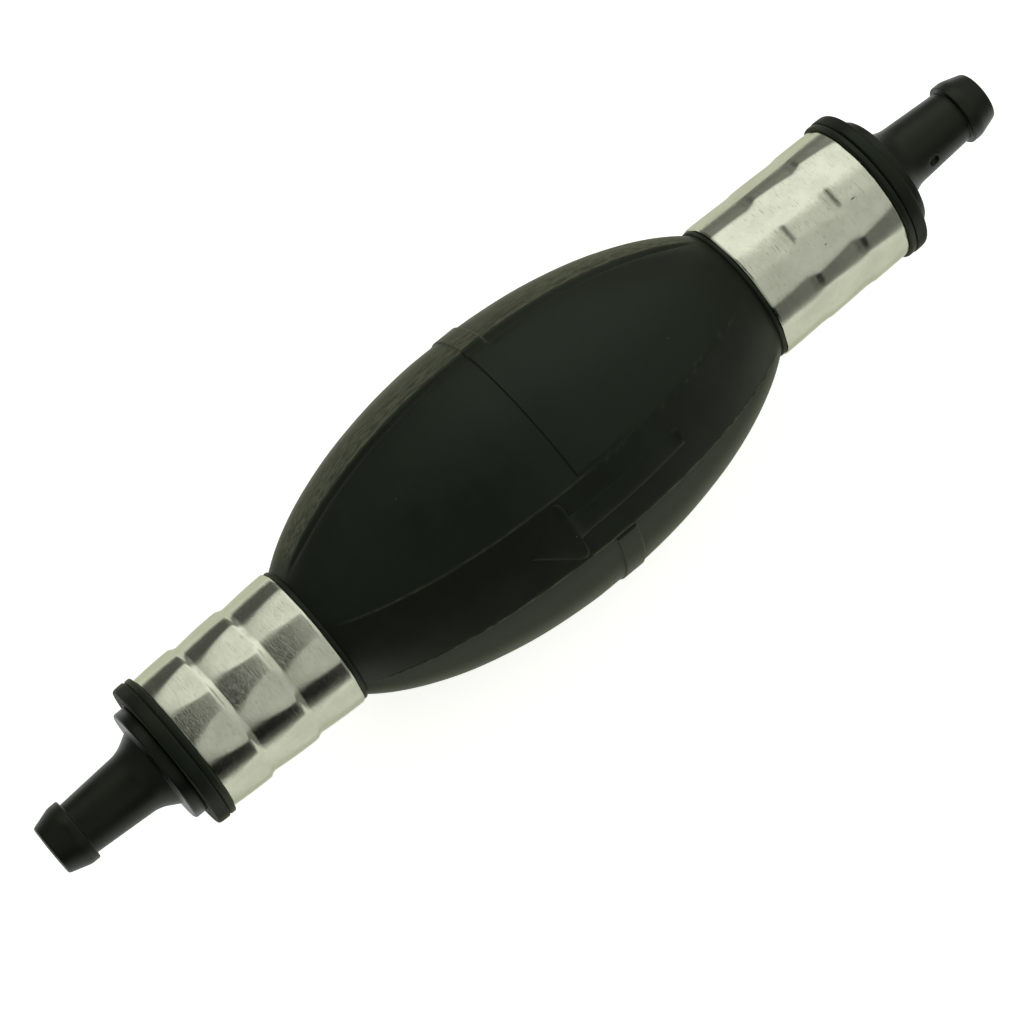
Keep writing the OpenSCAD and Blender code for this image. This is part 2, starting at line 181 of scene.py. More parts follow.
def rounded(corners, steps=6):
    """An outline through corners (x, r, radius), rounded by curves that start radius away."""
    line = []
    count = len(corners)
    for i, (x, r, radius) in enumerate(corners):
        here = Vector((x, r))
        if radius == 0:
            line.append((x, r))
            continue
        before = Vector(corners[i - 1][:2]) - here
        after = Vector(corners[(i + 1) % count][:2]) - here
        a = here + before.normalized() * min(radius, before.length * MOST_OF_LINE)
        b = here + after.normalized() * min(radius, after.length * MOST_OF_LINE)
        for k in range(steps + 1):
            t = k / steps
            line.append(tuple(a * (1 - t) ** 2 + here * 2 * t * (1 - t) + b * t ** 2))
    return line


# ---------------------------------------------------------------- bulb

BELLY_REACH = (BULB_R * BELLY_END) ** 2 - (MIDDLE_HALF * SHOULDER_R) ** 2
BELLY_HALF = sqrt(BELLY_REACH / (BULB_R ** 2 - SHOULDER_R ** 2))
BELLY_PEAK = sqrt(BELLY_REACH / (BELLY_END ** 2 - MIDDLE_HALF ** 2))
MIDDLE_BLUR = 0.06
CHAMBER_HALF = BELLY_END / sqrt(1 - (NECK_BORE_R / CHAMBER_R) ** 2)


def belly_r(x):
    """Radius of the belly's outline: an ellipse with a straight stretch in its middle."""
    return soft_min(BULB_R, BELLY_PEAK * sqrt(1 - (x / BELLY_HALF) ** 2), MIDDLE_BLUR)


def panel_share(x):
    """How much of its panels the section shows: all in the middle, none at the round necks."""
    return 1 - (abs(x) / BELLY_END) ** 4


def skin_r(x, section_r):
    """A radius of the middle's section, carried to another place along the belly."""
    return belly_r(x) * (1 + (section_r / BULB_R - 1) * panel_share(x))


def strip_reach(x):
    """Half the angle that a narrow panel takes: its width is the same all along."""
    return degrees(asin(STRIP_HALF / skin_r(x, RIDGE_R)))


def wide_r(a, half):
    """An arc through both ridges of a wide panel, a degrees from its middle."""
    a, half = radians(a), radians(half)
    beyond = (RIDGE_R ** 2 - BULB_R ** 2) / (2 * (BULB_R - RIDGE_R * cos(half)))
    return sqrt((BULB_R + beyond) ** 2 - (beyond * sin(a)) ** 2) - beyond * cos(a)


def strip_r(a, half):
    """A narrow panel's flat between its ridges, with a low crown."""
    return RIDGE_R * cos(radians(half)) / cos(radians(a)) + STRIP_CROWN * (1 - (a / half) ** 2)


# Offsets of the columns next to a ridge, and how many share the rest of each panel
NEAR = (0, 0.09, 0.18, 0.28, 0.4, 0.54, 0.7, 0.9, 1.15, 1.5, 2.0, 2.7)
SHARED = {"front": 20, "strip": 7, "side": 26}
# How deep and how far from it a ridge is rounded
CREASE = 0.3
CREASE_W = 0.7


def panels(x):
    """The six panels of the section as (kind, low, high) in degrees."""
    half = strip_reach(x)
    low, high = STRIP_ANGLE - half, STRIP_ANGLE + half
    return [(kind, turn + a, turn + b) for turn in (0, 180) for kind, a, b in
            (("front", SEAM_ANGLE, low), ("strip", low, high), ("side", high, 180 + SEAM_ANGLE))]


def columns(x):
    """Every column of the skin as (kind, angle, middle and half of its panel, and the
    millimetres from the panel's low ridge and from its high one)."""
    ridge = skin_r(x, RIDGE_R)
    found = []
    for kind, low, high in panels(x):
        length = radians(high - low) * ridge
        inner = NEAR[-1]
        step = (length - 2 * inner) / (SHARED[kind] + 1)
        at = list(NEAR) + [inner + step * (k + 1) for k in range(SHARED[kind])]
        at += [length - u for u in reversed(NEAR[1:])]
        for u in at:
            found.append((kind, low + degrees(u / ridge), (low + high) / 2, (high - low) / 2,
                          u, length - u))
    return found


# The mould's marks next to a ridge, as (height, distance from the ridge, width) in millimetres,
# and where they leave the rubber rubbed, as (strength, distance, width)
SEAM_GROOVE = (0.42, 1.05, 0.42)
FRONT_RIM, FRONT_RIM_RUB = (0.08, 0.25, 0.3), (0.25, 0.1, 0.3)
SIDE_RIM, SIDE_RIM_RUB = (0.10, 0.0, 0.3), (0.3, 0.3, 0.5)
SIDE_LINE, SIDE_LINE_RUB = (0.06, 2.1, 0.14), (0.5, 2.1, 0.16)
FLASH, FLASH_RUB = (0.16, 0, 0.13), (1.5, 0, 0.2)
SOFT_LINE, SOFT_LINE_RUB = (0.09, 0, 0.16), (0.6, 0, 0.2)
DOTS, DOTS_RUB = (0.05, 0.1, 0.6), (0.25, 0.1, 0.5)
# How a mark's strength changes along its ridge, as (mean, change, size of its patches)
FLASH_PATCHES = (0.75, 0.4, 1.7)
LINE_PATCHES = (0.8, 0.5, 1.1)
# The dots' patches: stretch along the ridge, size, and the level and gain that part them
DOT_STRETCH, DOT_SIZE, DOT_LEVEL, DOT_GAIN = 1.4, 0.8, 0.1, 2.2
# The side panel next to the seam is painted paler, as painted rim light with streaks like rubbing:
# strength, where it ends and over how much it fades
SIDE_RUB_AND_RIM_LIGHT, SIDE_RUB_AND_RIM_LIGHT_END, SIDE_RUB_AND_RIM_LIGHT_FADE = 0.85, 10, 6
# The soft line starts here, and comes up over this length
LINE_START, LINE_FADE = -4, 5
# How far from the neck the marks and the groove end, and over how much they fade
MARK_END, MARK_FADE = 0.6, 4
GROOVE_END, GROOVE_FADE = 0.2, 7


def trace(mark, u):
    """The height or strength of a mark, u millimetres from its ridge."""
    strength, place, width = mark
    return strength * bump(u, place, width)


def patchy(x, u, size):
    """Noise of about -1 to 1 along a ridge."""
    return noise.noise(Vector((x / size, u / size, 7)))


def patched(x, patches):
    """How strong a mark is here, when its strength changes along the ridge."""
    mean, change, size = patches
    return mean + change * patchy(x, 0, size)


def mould_marks(x, kind, low, high):
    """Height of the mould's marks next to a ridge, and how far its colour is painted paler there:
    marks of rubbing, and painted rim light on the side panel by the seam.
    low and high are the millimetres from the panel's two ridges."""
    from_neck = BELLY_END - abs(x)
    fade = smooth_step((from_neck - MARK_END) / MARK_FADE)
    mark = rub_and_light = 0.0
    if kind == "front":
        # A groove runs inside the seam's rounded rim, from neck to neck
        run_out = smooth_step((from_neck - GROOVE_END) / GROOVE_FADE)
        mark -= trace(SEAM_GROOVE, low) * run_out / max(fade, 0.05)
        mark += trace(FRONT_RIM, low)
        rub_and_light += trace(FRONT_RIM_RUB, low)
    if kind == "side":
        mark += trace(SIDE_RIM, high) + trace(SIDE_LINE, high)
        rub_and_light += trace(SIDE_RIM_RUB, high)
        rub_and_light += patched(x, FLASH_PATCHES) * trace(SIDE_LINE_RUB, high)
        # Painted rim light: the side panel next to the seam is painted paler, with streaks like
        # rubbing
        rub_and_light += SIDE_RUB_AND_RIM_LIGHT * smooth_step((SIDE_RUB_AND_RIM_LIGHT_END - high) / SIDE_RUB_AND_RIM_LIGHT_FADE)
    if kind != "front":
        # Trimmed flash along the outer ridge of the narrow panel
        edge = low if kind == "side" else high
        mark += trace(FLASH, edge)
        rub_and_light += patched(x, FLASH_PATCHES) * trace(FLASH_RUB, edge)
    if kind != "side":
        # The inner ridge is soft: a low line on the outlet's half, dots on the inlet's
        edge = high if kind == "front" else low
        outlet_half = smooth_step((x - LINE_START) / LINE_FADE)
        line = outlet_half * patched(x, LINE_PATCHES)
        level = patchy(x * DOT_STRETCH, edge if kind == "front" else -edge, DOT_SIZE)
        dots = (1 - outlet_half) * max(0.0, level - DOT_LEVEL) * DOT_GAIN
        mark += line * trace(SOFT_LINE, edge) + dots * trace(DOTS, edge)
        rub_and_light += line * trace(SOFT_LINE_RUB, edge) + dots * trace(DOTS_RUB, edge)
    return mark * fade, rub_and_light * fade


# The length over which the belt's edges rise
BELT_EDGE = 0.22
# On the side panels the belt starts this far from the narrow panel
SIDE_GAP = 0.25
# On the front panels a step and a long slope stand in for it, and a tab at the seam
FRONT_H = 0.24
FRONT_STEP = BELT[1] - 0.1
FRONT_SLOPE = 17
FRONT_GAP = 0.4
GAP_FADE = 0.5
TAB_W = 2.4
TAB_FADE = 0.3
# Rubbed places: the belt's inlet edge along the axis, and the tab's edge beside the seam
EDGE_RUB = {"side": (0.45, BELT[0] + 0.05, 0.22), "front": (0.5, BELT[0] + 0.05, 0.22)}
TAB_RUB = (0.4, 2.3, 0.2)


def risen(distance):
    """Share of the belt's height at a distance inside its edge."""
    return smooth_step(distance / BELT_EDGE + 0.5)


def belt_height(x, kind, low, high):
    """The raised belt: square on the side panels, one step and a long slope on the front ones."""
    belt = risen(x - BELT[0]) * risen(BELT[1] - x)
    if kind == "side":
        return BELT_H * belt * smooth_step((low - SIDE_GAP) / GAP_FADE)
    if kind == "front":
        slope = risen(FRONT_STEP - x) * (1 - smooth_step((BELT[1] - x) / FRONT_SLOPE))
        slope *= smooth_step((high - FRONT_GAP) / GAP_FADE)
        tab = smooth_step((TAB_W - low) / TAB_FADE)
        return FRONT_H * max(slope * (1 - tab), belt * tab)
    return 0.0


def belt_wear(x, kind, low):
    """How much the belt's inlet edge and the tab's edge are marked by rubbing."""
    if kind == "side":
        return trace(EDGE_RUB[kind], x)
    if kind == "front" and low < TAB_W + 0.2:
        inside = BELT[0] < x < BELT[1] - 1
        return trace(EDGE_RUB[kind], x) + (trace(TAB_RUB, low) if inside else 0.0)
    return 0.0


# The moulding is a little uneven: how much, the size of its waves, and how they end at the necks
WAVES = 0.05
WAVE_SIZE = 9
WAVE_FADE = 5


def skin(x, column):
    """Radius of the outer skin of the belly, and how far its colour is painted paler: marks of
    rubbing, and painted rim light.
    """
    kind, angle, middle, half, low, high = column
    a = angle - middle
    r = skin_r(x, strip_r(a, half) if kind == "strip" else wide_r(a, half))
    for u in (low, high):
        if u < CREASE_W:
            r -= CREASE * panel_share(x) * (CREASE_W - u) ** 2 / (4 * CREASE_W)
    mark, rub_and_light = mould_marks(x, kind, low, high)
    r += mark + belt_height(x, kind, low, high)
    wave = noise.noise(Vector(point(x, r, angle)) / WAVE_SIZE)
    r += WAVES * wave * smooth_step((BELLY_END - abs(x)) / WAVE_FADE)
    return r, min(1.0, rub_and_light + belt_wear(x, kind, low))


# Rows of the skin: even ones, finer ones round each edge of the belt and before the necks, and
# the least room between an even one and a finer one
COARSE_ROWS = 120
FINE_ROWS = (-0.26, -0.13, 0, 0.13, 0.26)
NECK_ROWS = (0.2, 0.45, 1.1)
ROW_ROOM = 0.2
CHAMBER_ROWS = 40


def stations():
    """Places along the belly: close at the belt's edges and near the necks."""
    coarse = [-BELLY_END + 2 * BELLY_END * k / COARSE_ROWS for k in range(COARSE_ROWS + 1)]
    fine = [edge + d for edge in (BELT[0], BELT[1], FRONT_STEP) for d in FINE_ROWS]
    kept = [x for x in coarse if min(abs(x - f) for f in fine) > ROW_ROOM]
    ends = [side * (BELLY_END - d) for side in (-1, 1) for d in NECK_ROWS]
    return sorted(kept + fine + ends)


# From the belly to the lip: shallow neck groove, bead, ferrule seat and lip
NECK = rounded([
    (BELLY_END, SHOULDER_R, 0), (BELLY_END + 0.25, SHOULDER_R - 0.2, 0.2),
    (BELLY_END + 0.35, BEAD_R, 0.25), (FERRULE_START - 0.06, BEAD_R, 0.3),
    (FERRULE_START - 0.04, NECK_R, 0), (LIP_START - 0.05, NECK_R, 0),
    (LIP_START, NECK_R + 0.1, 0), (LIP_START, LIP_R, 0.35), (LIP_END, LIP_R, 0.35),
    (LIP_END, NECK_BORE_R, 0)])[1:]


def make_bulb(material):
    """The whole rubber bulb as one closed skin, its necks, lips and chamber included."""
    rows = []

    def ring(x, r):
        place = max(-BELLY_END, min(BELLY_END, x))
        rows.append([point(x, r, c[1]) for c in columns(place)])

    for x, r in reversed(NECK):
        ring(-x, r)
    rub_and_light_share = [0.0] * sum(len(row) for row in rows)
    for x in stations():
        row = []
        for column in columns(x):
            r, rub_and_light = skin(x, column)
            row.append(point(x, r, column[1]))
            rub_and_light_share.append(rub_and_light)
        rows.append(row)
    for x, r in NECK:
        ring(x, r)
    for k in range(CHAMBER_ROWS + 1):
        x = BELLY_END * (1 - 2 * k / CHAMBER_ROWS)
        ring(x, CHAMBER_R * sqrt(1 - (x / CHAMBER_HALF) ** 2))
    points = [p for row in rows for p in row]
    faces = tube_faces(len(rows), len(rows[0]))
    rub_and_light_share += [0.0] * (len(points) - len(rub_and_light_share))
    for turn in (0, 180):
        add_arrow(points, faces, rub_and_light_share, turn)
    bulb = mesh_piece("bulb_skin", points, faces, material, sharp=60, rub_and_light_share=rub_and_light_share)
    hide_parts("bulb")
    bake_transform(bulb)


# Half the width of the flow arrow along the axis: square tail, shaft, swept corners and tip
ARROW = ((-18.2, 1.75), (-7, 1.9), (2.5, 2.1), (4.45, 2.35), (4.5, 4.4), (4.62, 4.95), (4.95, 5.4),
         (5.5, 5.66), (6.1, 5.6), (6.6, 5.25), (12.3, 0.5), (12.65, 0.28), (12.8, 0.1))
ARROW_TAIL, ARROW_TIP = ARROW[0][0], ARROW[-1][0]
ARROW_ROWS = 50
# Shares of its half width that have points, and how much of its height its edge has there:
# square at the head's corners, soft along the rest
ARROW_ACROSS = (-1, -0.96, -0.86, -0.6, -0.3, 0, 0.3, 0.6, 0.86, 0.96, 1)
CORNER_EDGE = {1: 0.6, 0.96: 0.9}
SOFT_EDGE = {1: 0.05, 0.96: 0.3, 0.86: 0.65, 0.6: 0.95}
CORNERS = (4.3, 5.8)
# It is low, and full height only at the corners and the tail, as (place, width)
ARROW_LOW = 0.3
ARROW_FULL = ((4.9, 0.9), (ARROW_TAIL, 0.8))
# The lengths over which its tail and tip rise, how far its walls stand out and sink in the skin
TAIL_RISE, TIP_RISE = 0.15, 0.08
ARROW_FOOT, ARROW_SINK = 0.1, 0.12
# The shaft's far edge is painted paler: how much, and from where to where
ARROW_PALE_EDGE, ARROW_PALE_EDGE_X = 0.35, (-17, 4)


def arrow_half(x):
    """Half the arrow's width at a place along the axis."""
    for (a, wa), (b, wb) in zip(ARROW, ARROW[1:]):
        if x <= b:
            return wa + (wb - wa) * (x - a) / (b - a)
    return ARROW[-1][1]


def arrow_row(x):
    """One row of the arrow as (distance from its middle line, height over the skin)."""
    half = arrow_half(x)
    edge = CORNER_EDGE if CORNERS[0] < x < CORNERS[1] else SOFT_EDGE
    full = max(bump(x, place, width) for place, width in ARROW_FULL)
    top = ARROW_H * (ARROW_LOW + (1 - ARROW_LOW) * full)
    at_end = min(1.0, (x - ARROW_TAIL) / TAIL_RISE, (ARROW_TIP - x) / TIP_RISE)
    row = [(half * share, (top * edge.get(abs(share), 1.0) + ARROW_SINK) * at_end - ARROW_SINK)
           for share in ARROW_ACROSS]
    foot = half + ARROW_FOOT
    return [(-foot, -ARROW_SINK)] + row + [(foot, -ARROW_SINK)]


def add_arrow(points, faces, rub_and_light_share, turn):
    """Adds the raised arrow that follows a narrow panel, with rounded top edges."""
    even = {round(ARROW_TAIL + (ARROW_TIP - ARROW_TAIL) * k / ARROW_ROWS, 3)
            for k in range(ARROW_ROWS + 1)}
    ends = {ARROW_TAIL + 0.05, ARROW_TAIL + TAIL_RISE, ARROW_TIP - TIP_RISE}
    places = sorted(even | {x for x, _ in ARROW} | ends)
    first = len(points)
    for x in places:
        panel_half = strip_reach(x)
        middle_r = skin_r(x, strip_r(0, panel_half))
        rub_and_light = ARROW_PALE_EDGE if ARROW_PALE_EDGE_X[0] < x < ARROW_PALE_EDGE_X[1] else 0.0
        for y, height in arrow_row(x):
            a = degrees(atan(y / middle_r))
            r = skin_r(x, strip_r(a, panel_half)) + height
            points.append(point(x, r, STRIP_ANGLE + a + turn))
            rub_and_light_share.append(rub_and_light if y > 0.95 * arrow_half(x) else 0.0)
    width = len(ARROW_ACROSS) + 2
    last = first + (len(places) - 1) * width
    starts = range(first, last, width)
    for row in starts:
        faces += [(a, a + 1, a + width + 1, a + width) for a in range(row, row + width - 1)]
    # Its underside, tail and tip close it
    faces += [(row, row + width, row + 2 * width - 1, row + width - 1) for row in starts]
    faces += [tuple(range(row, row + width)) for row in (first, last)]


# ---------------------------------------------------------------- ends

# The crimping tool's jaws and the angle of one of them
JAWS = 8
JAW_ANGLE = 30.5
# Where the crimped bands meet, as a share of the ferrule's length from the bulb's side
BANDS = (0.0, 0.335, 0.695, 1.0)
# For each band, the depth of its flats at the bulb's side and at the barb's
FLATS = ((0.27, 0.38), (0.43, 0.38), (0.43, 0.27))
# For each band, where its crest is, and how far it drops from there to the barb's side
CRESTS = ((0.02, 0.48), (0.10, 0.56), (0.10, 0.34))
# How far a band drops from its crest to the bulb's side, and over which share of its length
STEP_DOWN = 0.16
STEP_W = 0.10
# How steeply both drops start
CREST_POWER, STEP_POWER = 1.6, 1.5
# How unequally deep the flats are
UNEVEN = 0.16
# How strongly each end's crests and steps are pressed
CRIMP = {"inlet": 0.43, "outlet": 1.0}
# Half the length over which one band runs into the next, and how far a flat's edge is rounded
BAND_BLUR = {"inlet": 1.3, "outlet": 0.55}
EDGE_BLUR = 0.14
# How far the sheet's ends are rounded off, and over which length
MOUTH_ROUND, MOUTH_W = 0.10, 0.3
FERRULE_ROWS = 120
JAW_COLUMNS = 30


def band_r(band, along, angle, end_name):
    """Radius of one crimped band: a ring with a crest, cut by a flat under each jaw."""
    crest, drop = CRESTS[band]
    fall = drop * max(0.0, (along - crest) / (1 - crest)) ** CREST_POWER
    if band > 0:
        fall += STEP_DOWN * max(0.0, 1 - along / STEP_W) ** STEP_POWER
    ring = FERRULE_R - CRIMP[end_name] * fall
    jaw = round((angle - JAW_ANGLE) * JAWS / 360)
    off = angle - JAW_ANGLE - jaw * 360 / JAWS
    uneven = noise.noise(Vector((jaw % JAWS * 3.1, band * 5.3, SIDES[end_name])))
    start, end = FLATS[band]
    depth = (start + (end - start) * along) * (1 + UNEVEN * uneven)
    return soft_min(ring, (FERRULE_R - depth) / cos(radians(off)), EDGE_BLUR)


def ferrule_r(share, angle, end_name):
    """Outer radius of the crimped sleeve. Neighbouring bands run into each other over a step."""
    length = FERRULE_END - FERRULE_START
    band = max(k for k in range(3) if share >= BANDS[k])
    start, end = BANDS[band:band + 2]
    radius = band_r(band, (share - start) / (end - start), angle, end_name)
    for other, edge in ((band - 1, start), (band + 1, end)):
        away = abs(share - edge) * length / BAND_BLUR[end_name]
        if 0 <= other <= 2 and away < 1:
            beyond = band_r(other, 1.0 if other < band else 0.0, angle, end_name)
            radius += (beyond - radius) * (0.5 - 0.5 * smooth_step(away))
    return radius


def make_ferrule(end, material):
    """The crimped aluminium sleeve of one end."""
    length = FERRULE_END - FERRULE_START
    angles = around(JAWS * JAW_COLUMNS)
    rows = []
    for share in (k / FERRULE_ROWS for k in range(FERRULE_ROWS + 1)):
        x = FERRULE_START + length * share
        from_end = min(x - FERRULE_START, FERRULE_END - x)
        round_off = MOUTH_ROUND * (1 - min(1, from_end / MOUTH_W)) ** 2
        rows.append([(x, ferrule_r(share, a, end) - round_off, a) for a in angles])
    for x in (FERRULE_END, FERRULE_START):
        rows.append([(x, FERRULE_BORE_R, a) for a in angles])
    points = [point(SIDES[end] * x, r, a) for row in rows for x, r, a in row]
    piece = mesh_piece(end + "_crimped_ferrule", points, tube_faces(len(rows), len(angles)),
                       material, "ends", sharp=40)
    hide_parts(end + "_ferrule")


def turned(end, name, outline, angles, material, replaced, shape=None):
    """A piece turned from a closed outline of (distance along the axis, radius).
    shape says how much a point's radius differs from that."""
    points = [point(SIDES[end] * x, r + (shape(x, r, a) if shape else 0), a)
              for x, r in outline for a in angles]
    faces = tube_faces(len(outline), len(angles))
    piece = mesh_piece(end + name, points, faces, material, "ends")
    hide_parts(end + replaced)


# Fine rings turned into the gasket's outer face: radii, half width and depth
RINGS = (12.5, 11.9, 11.3)
RING_HALF, RING_DEPTH = 0.14, 0.12
GASKET_SIDES = 180


def make_gasket(end, material):
    """The rubber ring between the neck's lip and the fitting's flange."""
    face = FLANGE_START
    rings = [p for r in RINGS for p in
             ((face, r + RING_HALF, 0), (face - RING_DEPTH, r, 0), (face, r - RING_HALF, 0))]
    outline = rounded(
        [(GASKET_START, NECK_BORE_R, 0), (GASKET_START, GASKET_R, 0.45),
         (face, GASKET_R - 0.06, 1.0)] + rings + [(face, NECK_BORE_R, 0)])
    turned(end, "_face_gasket", outline, around(GASKET_SIDES), material, "_gasket")


# The fitting from its flange outwards, as in the CAD model
FLANGE_L = 2.3
CONE_L, CONE_R = 3.2, 7.3
STEM_L, STEM_ROOT_R, STEM_TIP_R = 12, 5.5, 4.75
CREST_L, CREST_R, BARB_TIP_R = 1.8, 5.6, 4.45
BORE_R = 3.0
# Inside the neck: the spigot with its ribs, and the valve's pocket
SPIGOT_L, SPIGOT_R, SPIGOT_ROOT_R = 27.5, 8.9, 8.5
RIBS = 4
RIB_START = 1.8
RIB_PITCH = (SPIGOT_L - RIB_START) / (RIBS + 1)
POCKET_END, POCKET_R, CAGE_R = 65.0, 6.6, 5.6
# The moulding gate's dimple on each stem
GATE_X = 83.8
GATE_R = 0.85
GATE_ANGLE = {"inlet": 65.0, "outlet": 245.0}
GATE_DEPTH = 0.6
GATE_EDGE = 0.4
# The stem's outside is beyond this radius, and has finer rows this far from the gate
STEM_OUTSIDE_R = 4.5
GATE_REACH = 6
GATE_ROW = 0.16
FITTING_SIDES = 128


def gate_dimple(x, r, angle, middle):
    """Depth of the dimple that the moulding gate left in the stem."""
    if r < STEM_OUTSIDE_R or abs(x - GATE_X) > 2:
        return 0.0
    off = (angle - middle + 180) % 360 - 180
    away = sqrt((x - GATE_X) ** 2 + (radians(off) * r) ** 2)
    return -GATE_DEPTH * smooth_step((GATE_R - away) / GATE_EDGE + 0.5)


def fitting_outline():
    """The fitting's flange, cone, stem, barb, bore, valve pocket and ribbed spigot."""
    flange_end = FLANGE_START + FLANGE_L
    cone_end = flange_end + CONE_L
    barb = cone_end + STEM_L
    crest_end = barb + CREST_L
    ribs = []
    for k in range(RIBS):
        z = SPIGOT_START + RIB_START + k * RIB_PITCH
        top, back = z + RIB_PITCH * 0.6, z + RIB_PITCH * 0.8
        ribs += [(z, SPIGOT_ROOT_R, 0), (top, SPIGOT_R, 0.15),
                 (back, SPIGOT_R, 0.1), (back, SPIGOT_ROOT_R, 0)]
    collar = FLANGE_START - RIB_PITCH / 2
    return rounded(
        [(SPIGOT_START, POCKET_R, 0), (SPIGOT_START, SPIGOT_ROOT_R, 0.2)] + ribs +
        [(collar, SPIGOT_ROOT_R, 0), (collar, SPIGOT_R, 0.1), (FLANGE_START, SPIGOT_R, 0),
         (FLANGE_START, FLANGE_R, 0.3), (flange_end, FLANGE_R, 0.55),
         (flange_end, CONE_R, 0.5), (cone_end, STEM_ROOT_R, 1.4), (barb, STEM_TIP_R, 0.25),
         (barb, CREST_R, 0.3), (crest_end, CREST_R, 0.5), (BARB_END, BARB_TIP_R, 0.45),
         (BARB_END, BORE_R, 0.3), (POCKET_END + CAGE_R - BORE_R, BORE_R, 0.2),
         (POCKET_END, CAGE_R, 0), (POCKET_END, POCKET_R, 0)])


def make_fitting(end, material):
    """The barbed end fitting, with fine rows and columns round its gate dimple."""
    outline = fitting_outline()
    fine = []
    for (x0, r0), (x1, r1) in zip(outline, outline[1:] + outline[:1]):
        near_gate = abs((x0 + x1) / 2 - GATE_X) < GATE_REACH and r0 > STEM_OUTSIDE_R
        steps = max(1, int(abs(x1 - x0) / GATE_ROW)) if near_gate else 1
        fine += [(x0 + (x1 - x0) * k / steps, r0 + (r1 - r0) * k / steps) for k in range(steps)]
    gate = GATE_ANGLE[end]
    angles = sorted(set(around(FITTING_SIDES)) | {gate + d * 1.4 for d in range(-14, 15)})
    turned(end, "_barb_fitting", fine, angles, material, "_fitting",
           lambda x, r, angle: gate_dimple(x, r, angle, gate))


# ---------------------------------------------------------------- springs

SPRING_R = 2.5
SPRING_WIRE = 0.6
SPRING_TURNS = 6
SPRING_ROOM = 0.05
RINGS_PER_TURN = 24
WIRE_SIDES = 10
VALVE_START = {"inlet": -65.0, "outlet": 49.0}
HEAD_END = 5.12
PLATE_START = 14.4


def make_spring(end, material):
    """A coil of round wire between the poppet's head and the cage's plate."""
    start = VALVE_START[end]
    low = start + HEAD_END + SPRING_WIRE / 2 + SPRING_ROOM
    high = start + PLATE_START - SPRING_WIRE / 2 - SPRING_ROOM
    rings = SPRING_TURNS * RINGS_PER_TURN + 1
    points = []
    for i in range(rings):
        t = i / (rings - 1)
        turn = 2 * pi * SPRING_TURNS * t
        for j in range(WIRE_SIDES):
            a = 2 * pi * j / WIRE_SIDES
            r = SPRING_R + SPRING_WIRE / 2 * cos(a)
            points.append((low + (high - low) * t + SPRING_WIRE / 2 * sin(a),
                           r * sin(turn), -r * cos(turn)))
    faces = tube_faces(rings, WIRE_SIDES, closed=False)
    faces += [tuple(range(a, a + WIRE_SIDES)) for a in (0, (rings - 1) * WIRE_SIDES)]
    piece = mesh_piece(end + "_coil_spring", points, faces, material, "ends")
    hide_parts(end + "_spring")
    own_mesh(piece)


# ---------------------------------------------------------------- materials

class Nodes:
    """Short ways to add nodes to a tree."""

    def __init__(self, tree):
        self.tree = tree

    def add(self, kind, **settings):
        node = self.tree.nodes.new(kind)
        for key, value in settings.items():
            if key in node.inputs:
                node.inputs[key].default_value = value
            else:
                setattr(node, key, value)
        return node

    def link(self, source, target):
        self.tree.links.new(source, target)

    def ramp(self, source, low, high, to_low, to_high):
        """A smooth change from one value to another."""
        node = self.add("ShaderNodeMapRange", interpolation_type="SMOOTHSTEP")
        limits = {"From Min": low, "From Max": high, "To Min": to_low, "To Max": to_high}
        for name, value in limits.items():
            node.inputs[name].default_value = value
        self.link(source, node.inputs["Value"])
        return node.outputs["Result"]

    def between(self, source, limits):
        """1 between the middle two of four limits, and 0 beyond the outer two."""
        return self.times(self.ramp(source, *limits[:2], 0, 1),
                          self.ramp(source, *limits[2:], 1, 0))

    def math(self, operation, a, b):
        node = self.add("ShaderNodeMath", operation=operation)
        for socket, value in zip(node.inputs, (a, b)):
            if isinstance(value, (int, float)):
                socket.default_value = value
            else:
                self.link(value, socket)
        return node.outputs[0]

    def times(self, *values):
        total = values[0]
        for value in values[1:]:
            total = self.math("MULTIPLY", total, value)
        return total

    def plus(self, *values):
        total = values[0]
        for value in values[1:]:
            total = self.math("ADD", total, value)
        return total

    def minus(self, value):
        """What is left of 1."""
        return self.math("SUBTRACT", 1.0, value)

    def split(self, place):
        """The three axes of a place."""
        node = self.add("ShaderNodeSeparateXYZ")
        self.link(place, node.inputs[0])
        return node.outputs

    def blend(self, share, first, second):
        """A colour between two, each a colour or a socket."""
        node = self.add("ShaderNodeMix", data_type="RGBA")
        self.link(share, node.inputs["Factor"])
        for socket, value in ((node.inputs[6], first), (node.inputs[7], second)):
            if isinstance(value, (tuple, list)):
                socket.default_value = (*value, 1)
            else:
                self.link(value, socket)
        return node.outputs[2]


